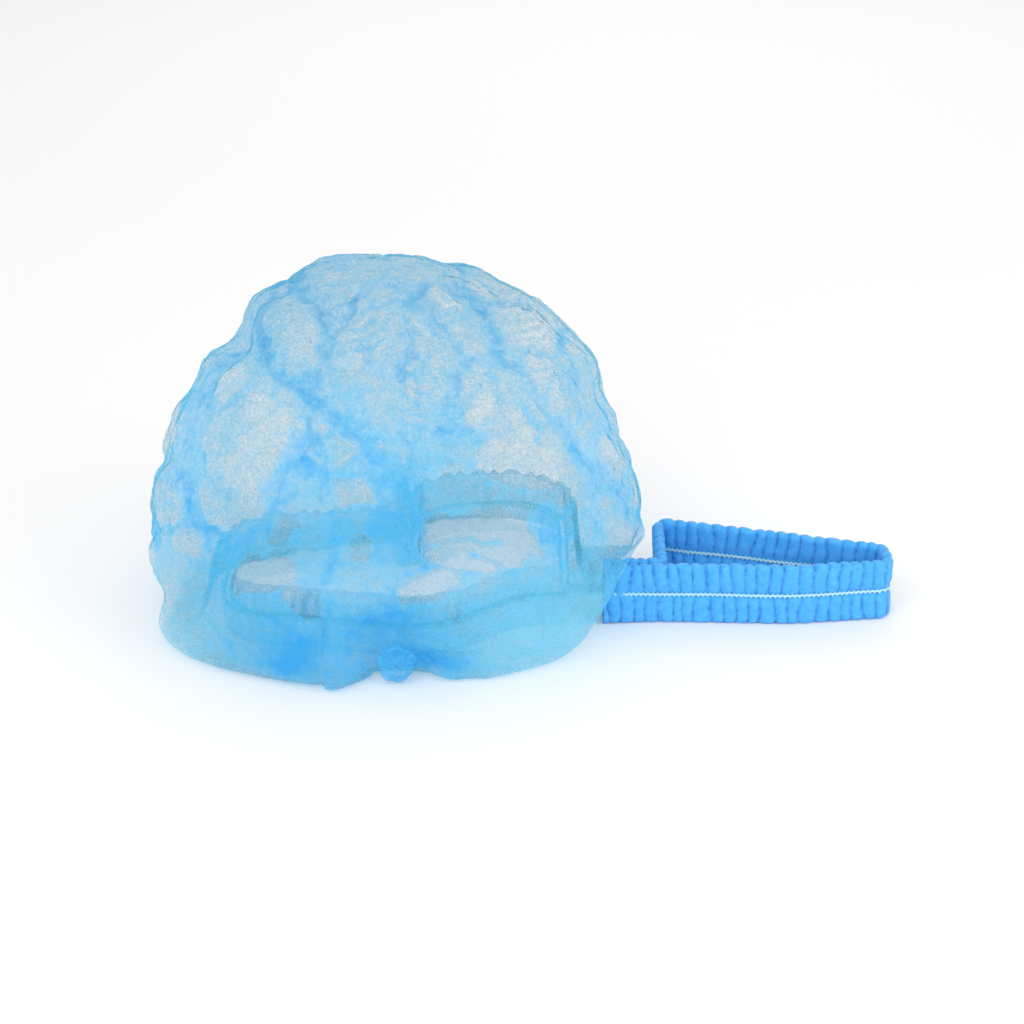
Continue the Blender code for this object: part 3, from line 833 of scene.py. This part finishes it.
def twisted_knot(name, box):
    """The cloth's twisted end: a small puff of spiral folds that start from a pit in its front."""
    low, high = np.array(box[0]), np.array(box[1])
    centre, size = (low + high) / 2, high - low
    around, deep = 180, 90
    points = np.empty((around, deep, 3))
    for j in range(deep):
        polar = math.pi * (j + 0.35) / (deep - 0.3)
        for i in range(around):
            angle = 2 * math.pi * i / around
            twist = angle + 1.9 * polar
            fold = abs(math.sin(2 * twist + 0.7 * math.sin(angle * 2 + 1))) ** 0.7
            small = abs(math.sin(6.5 * twist - 0.9 * polar))
            rough = noise.noise(Vector((math.cos(angle) * 1.8, math.sin(angle) * 1.8, polar * 1.4)))
            fade = math.sin(polar) ** 0.5
            reach = 0.86 + (0.30 * fold + 0.06 * small - 0.16) * fade + 0.16 * rough
            reach -= 0.42 * math.exp(-((polar / 0.30) ** 2))
            x = centre[0] + 0.0020 + size[0] * 0.50 * reach * math.sin(polar) * math.cos(angle)
            z = centre[2] + 0.0006 + size[2] * 0.45 * reach * math.sin(polar) * math.sin(angle)
            y = centre[1] - size[1] * 0.48 * reach * math.cos(polar)
            points[i, j] = (x, y, max(z, 0.0004))
    faces = grid_faces(around, deep)
    faces.append([i * deep for i in range(around)])
    faces.append([i * deep + deep - 1 for i in reversed(range(around))])
    made = mesh_object(name, points.reshape(-1, 3), faces)
    outward_faces(made)
    return made


def new_material(name):
    made = bpy.data.materials.new(name)
    made.use_nodes = True
    made.node_tree.nodes.clear()
    return made, made.node_tree.nodes, made.node_tree.links


def node(nodes, kind, **values):
    made = nodes.new(kind)
    for key, value in values.items():
        if hasattr(made, key):
            setattr(made, key, value)
        else:
            made.inputs[key.replace("_", " ")].default_value = value
    return made


def ramp(nodes, links, source, low, high, start=0.0, end=1.0):
    made = nodes.new("ShaderNodeMapRange")
    made.inputs["From Min"].default_value = start
    made.inputs["From Max"].default_value = end
    made.inputs["To Min"].default_value = low
    made.inputs["To Max"].default_value = high
    links.new(source, made.inputs["Value"])
    return made.outputs["Result"]


def maths(nodes, links, operation, first, second):
    made = nodes.new("ShaderNodeMath")
    made.operation = operation
    for socket, value in zip(made.inputs, (first, second)):
        if isinstance(value, (int, float)):
            socket.default_value = value
        else:
            links.new(value, socket)
    return made.outputs[0]


def painted_light_and_shade(nodes, links, place, colour):
    """The pouch's colour with painted light: a lighter tint painted low at the front's two sides, and painted
    shade that dulls it at the crown.
    """
    split = nodes.new("ShaderNodeSeparateXYZ")
    links.new(place, split.inputs[0])
    x, y, z = split.outputs
    # Painted light: a mask, high low on the front's two sides, that mixes in a light blue
    right = ramp(nodes, links, x, 0.0, 0.75, -0.030, 0.0)
    left = ramp(nodes, links, x, 0.6, 0.0, -0.120, -0.095)
    sides = maths(nodes, links, "ADD", right, left)
    lit = maths(nodes, links, "MULTIPLY", sides, ramp(nodes, links, z, 1.0, 0.0, 0.020, 0.050))
    lit = maths(nodes, links, "MULTIPLY", lit, ramp(nodes, links, y, 1.0, 0.0, -0.035, -0.010))
    mix = nodes.new("ShaderNodeMix")
    mix.data_type = "RGBA"
    links.new(lit, mix.inputs["Factor"])
    links.new(colour, mix.inputs["A"])
    mix.inputs["B"].default_value = (0.27, 0.80, 1.0, 1)
    # Painted shade: the colour is scaled darker toward the crown
    crown_shade = nodes.new("ShaderNodeVectorMath")
    crown_shade.operation = "SCALE"
    links.new(mix.outputs["Result"], crown_shade.inputs[0])
    links.new(ramp(nodes, links, z, 1.0, 0.80, 0.075, 0.115), crown_shade.inputs["Scale"])
    return crown_shade.outputs[0]


def thin_cloth(name, opacity, uses_layers, pale, colour, dark, glow=0.5, pouch=False):
    """Thin nonwoven cloth: fibres that scatter light, with clear gaps between, doubled where it is folded."""
    made, nodes, links = new_material(name)
    place = nodes.new("ShaderNodeTexCoord").outputs["Object"]
    fibre = node(nodes, "ShaderNodeTexNoise", Scale=900.0, Detail=1.0, Roughness=0.65)
    blot = node(nodes, "ShaderNodeTexNoise", Scale=230.0, Detail=2.0, Roughness=0.6)
    crackle = node(nodes, "ShaderNodeTexNoise", Scale=330.0, Detail=1.0, Roughness=0.6)
    for texture in (fibre, blot, crackle):
        links.new(place, texture.inputs["Vector"])
    off_crease = maths(nodes, links, "SUBTRACT", crackle.outputs[0], 0.5)
    off_crease = maths(nodes, links, "ABSOLUTE", off_crease, 0.0)
    web = ramp(nodes, links, off_crease, 0.55, -0.10, 0.0, 0.045)
    spot = ramp(nodes, links, blot.outputs[0], 0.74, 1.26, 0.30, 0.70)
    thread = ramp(nodes, links, fibre.outputs[0], 0.72, 1.28, 0.32, 0.68)
    if uses_layers:
        attribute = nodes.new("ShaderNodeAttribute")
        attribute.attribute_name = "layers"
        count = attribute.outputs["Fac"]
        web = maths(nodes, links, "MULTIPLY", web, ramp(nodes, links, count, 1.0, 0.12, 1.4, 2.4))
    else:
        web = maths(nodes, links, "MULTIPLY", web, 0.2)
    texture = maths(nodes, links, "MULTIPLY", maths(nodes, links, "ADD", web, 1.0), spot)
    texture = maths(nodes, links, "MULTIPLY", texture, thread)
    single = maths(nodes, links, "MINIMUM", maths(nodes, links, "MULTIPLY", texture, opacity), 0.85)
    clear = maths(nodes, links, "SUBTRACT", 1.0, single)
    if uses_layers:
        clear = maths(nodes, links, "POWER", clear, count)
    alpha = maths(nodes, links, "SUBTRACT", 1.0, clear)
    tints = nodes.new("ShaderNodeValToRGB")
    tints.color_ramp.elements[0].position = 0.10
    tints.color_ramp.elements[0].color = (*pale, 1)
    tints.color_ramp.elements[1].position = 1.0
    tints.color_ramp.elements[1].color = (*dark, 1)
    middle = tints.color_ramp.elements.new(0.38)
    middle.color = (*colour, 1)
    tone = ramp(nodes, links, blot.outputs[0], -0.12, 0.12, 0.3, 0.7)
    depth = ramp(nodes, links, count, 0.0, 1.0, 0.0, 10.0) if uses_layers else 0.5
    links.new(maths(nodes, links, "ADD", tone, depth), tints.inputs["Fac"])
    diffuse = nodes.new("ShaderNodeBsdfDiffuse")
    through = nodes.new("ShaderNodeBsdfTranslucent")
    clear_shader = nodes.new("ShaderNodeBsdfTransparent")
    # On the pouch the tint carries painted light low at the front's sides and painted shade at the crown
    tint = painted_light_and_shade(nodes, links, place, tints.outputs["Color"]) if pouch else tints.outputs["Color"]
    for shader in (diffuse, through):
        links.new(tint, shader.inputs["Color"])
    cloth = nodes.new("ShaderNodeMixShader")
    cloth.inputs[0].default_value = glow
    links.new(diffuse.outputs[0], cloth.inputs[1])
    links.new(through.outputs[0], cloth.inputs[2])
    whole = nodes.new("ShaderNodeMixShader")
    links.new(alpha, whole.inputs[0])
    links.new(clear_shader.outputs[0], whole.inputs[1])
    links.new(cloth.outputs[0], whole.inputs[2])
    output = nodes.new("ShaderNodeOutputMaterial")
    links.new(whole.outputs[0], output.inputs["Surface"])
    return made


def pleated_cloth(name, colour, dark, pale):
    """Doubled cloth over elastic: mottled, with painted shade darkening its grooves, and a fine fibre bump."""
    made, nodes, links = new_material(name)
    place = nodes.new("ShaderNodeTexCoord").outputs["Object"]
    fibre = node(nodes, "ShaderNodeTexNoise", Scale=1500.0, Detail=3.0, Roughness=0.7)
    blot = node(nodes, "ShaderNodeTexNoise", Scale=420.0, Detail=5.0, Roughness=0.7)
    for texture in (fibre, blot):
        links.new(place, texture.inputs["Vector"])
    # Painted shade: this attribute mixes the dark colour into the grooves
    attribute = nodes.new("ShaderNodeAttribute")
    attribute.attribute_name = "groove_shade"
    groove_shade = ramp(nodes, links, attribute.outputs["Fac"], 1.0, 0.0, 0.25, 1.0)
    first = nodes.new("ShaderNodeMix")
    first.data_type = "RGBA"
    first.inputs["A"].default_value = (*dark, 1)
    first.inputs["B"].default_value = (*colour, 1)
    links.new(groove_shade, first.inputs["Factor"])
    second = nodes.new("ShaderNodeMix")
    second.data_type = "RGBA"
    links.new(first.outputs["Result"], second.inputs["A"])
    second.inputs["B"].default_value = (*pale, 1)
    links.new(ramp(nodes, links, blot.outputs[0], 0.0, 0.95, 0.40, 0.72), second.inputs["Factor"])
    bump = nodes.new("ShaderNodeBump")
    bump.inputs["Strength"].default_value = 0.5
    bump.inputs["Distance"].default_value = 0.0003
    links.new(maths(nodes, links, "ADD", fibre.outputs[0], blot.outputs[0]), bump.inputs["Height"])
    shader = nodes.new("ShaderNodeBsdfPrincipled")
    shader.inputs["Roughness"].default_value = 0.85
    shader.inputs["Sheen Weight"].default_value = 0.15
    links.new(second.outputs["Result"], shader.inputs["Base Color"])
    links.new(bump.outputs[0], shader.inputs["Normal"])
    output = nodes.new("ShaderNodeOutputMaterial")
    links.new(shader.outputs[0], output.inputs["Surface"])
    return made


def thread_material(name, dark, pale):
    made, nodes, links = new_material(name)
    place = nodes.new("ShaderNodeTexCoord").outputs["Object"]
    twist = node(nodes, "ShaderNodeTexWave", Scale=900.0, Distortion=2.0, Detail=1.0)
    links.new(place, twist.inputs["Vector"])
    mix = nodes.new("ShaderNodeMix")
    mix.data_type = "RGBA"
    mix.inputs["A"].default_value = (*dark, 1)
    mix.inputs["B"].default_value = (*pale, 1)
    links.new(twist.outputs["Fac"], mix.inputs["Factor"])
    shader = nodes.new("ShaderNodeBsdfPrincipled")
    shader.inputs["Roughness"].default_value = 0.6
    links.new(mix.outputs["Result"], shader.inputs["Base Color"])
    output = nodes.new("ShaderNodeOutputMaterial")
    links.new(shader.outputs[0], output.inputs["Surface"])
    return made


def plain(name, colour, roughness):
    made, nodes, links = new_material(name)
    shader = nodes.new("ShaderNodeBsdfPrincipled")
    shader.inputs["Base Color"].default_value = (*colour, 1)
    shader.inputs["Roughness"].default_value = roughness
    output = nodes.new("ShaderNodeOutputMaterial")
    links.new(shader.outputs[0], output.inputs["Surface"])
    return made


def dressed(obj, material, slot, *nodes_replaced):
    obj.data.materials.clear()
    obj.data.materials.append(material)
    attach(obj, "root")
    if nodes_replaced:
        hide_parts(*nodes_replaced)
    return obj


def lights_and_camera():
    scene = bpy.context.scene
    scene.view_settings.view_transform = "Standard"
    scene.cycles.transparent_max_bounces = 24
    scene.cycles.max_bounces = 4
    scene.cycles.diffuse_bounces = 3
    scene.cycles.transmission_bounces = 3
    world = bpy.data.worlds.new("studio")
    scene.world = world
    world.use_nodes = True
    background = world.node_tree.nodes["Background"]
    background.inputs["Color"].default_value = (1.0, 0.985, 0.965, 1)
    background.inputs["Strength"].default_value = 0.80
    for name, place, size, power in (
        ("key", (-0.35, -0.85, 0.70), 0.9, 4.9),
        ("fill", (0.80, -0.50, 0.50), 0.8, 3.2),
        ("back", (0.10, 0.90, 0.70), 0.9, 1.6),
    ):
        light = bpy.data.lights.new(name, "AREA")
        light.size = size
        light.energy = power
        lamp = bpy.data.objects.new(name, light)
        lamp.location = place
        lamp.rotation_euler = (Vector((0, 0, 0.04)) - lamp.location).to_track_quat("-Z", "Y").to_euler()
        scene.collection.objects.link(lamp)
    corners = [(-4, -4, 0), (4, -4, 0), (4, 4, 0), (-4, 4, 0)]
    floor = mesh_object("floor", corners, [[0, 1, 2, 3]], smooth=False)
    floor.data.materials.append(plain("floor", (0.92, 0.92, 0.93), 0.9))
    lens = bpy.data.cameras.new("camera")
    lens.lens = 85
    lens.sensor_width = 36
    lens.clip_start = 0.01
    camera = bpy.data.objects.new("camera", lens)
    target = Vector(CAMERA_TARGET)
    camera.location = target + Vector((0, -math.cos(TILT), math.sin(TILT))) * CAMERA_DISTANCE
    camera.rotation_euler = (target - camera.location).to_track_quat("-Z", "Y").to_euler()
    scene.collection.objects.link(camera)
    scene.camera = camera


def build():
    lights_and_camera()
    # Painted shade: the pouch's pale tint for few layers is greyed and darkened, standing in for shade seen
    # through the thin cloth
    pale, blue, deep = (0.14, 0.43, 0.56), (0.15, 0.66, 0.96), (0.065, 0.52, 0.97)
    cloth = thin_cloth("nonwoven_cloth", 0.19, True, pale, blue, deep, glow=0.6, pouch=True)
    gathered = thin_cloth("gathered_cloth", 0.42, False, blue, (0.13, 0.63, 0.96), deep, glow=0.3)
    heaped = thin_cloth("bunched_cloth", 0.20, True, blue, (0.09, 0.56, 0.96), (0.02, 0.30, 0.82), glow=0.4)
    # Painted light: the mouth frill's blues are lighter than the pouch cloth's, lifting the band where it lies
    # in the pouch's shade
    frill = thin_cloth("mouth_frill", 0.19, True, (0.25, 0.76, 1.0), (0.22, 0.74, 1.0), deep, glow=0.6)
    # The pleated band's dark colour is painted shade for its grooves
    pleats = pleated_cloth("pleated_band", (0.05, 0.385, 0.87), (0.015, 0.19, 0.62), (0.10, 0.48, 0.92))
    thread = thread_material("stitch_thread", (0.30, 0.70, 0.80), (0.62, 0.88, 0.90))
    shaded_thread = thread_material("mouth_stitch_thread", (0.26, 0.58, 0.66), (0.50, 0.80, 0.84))
    pouch = dressed(pouch_sheet(), cloth, "nonwoven_cloth", "pouch")
    mouth, runs, strap = bands(0.0005)
    dressed(mouth, frill, "pleated_band", "mouth_band")
    dressed(runs, pleats, "pleated_band")
    dressed(strap, pleats, "pleated_band", "strap_loop")
    mouth_line, strap_line = mouth_path(), strap_path()
    mouth_line[0][0] = mouth_line[-1][0] = FRILL_END
    run_ends = np.array(((FRILL_END, RUN_OFFSET), (FRILL_END, 0.0)))
    strap_line = np.concatenate([run_ends[:1], strap_line, run_ends[1:]])
    dressed(stitches("mouth_band_stitches", mouth_line, 1), shaded_thread, "pleated_band")
    dressed(stitches("strap_loop_stitches", strap_line, 2), thread, "pleated_band")
    dressed(twisted_knot("front_knot_folds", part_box("front_knot")), gathered, "gathered_cloth", "front_knot")
    dressed(crumpled_bunch("rear_bunch_folds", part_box("rear_bunch")), heaped, "gathered_cloth", "rear_bunch")


build()
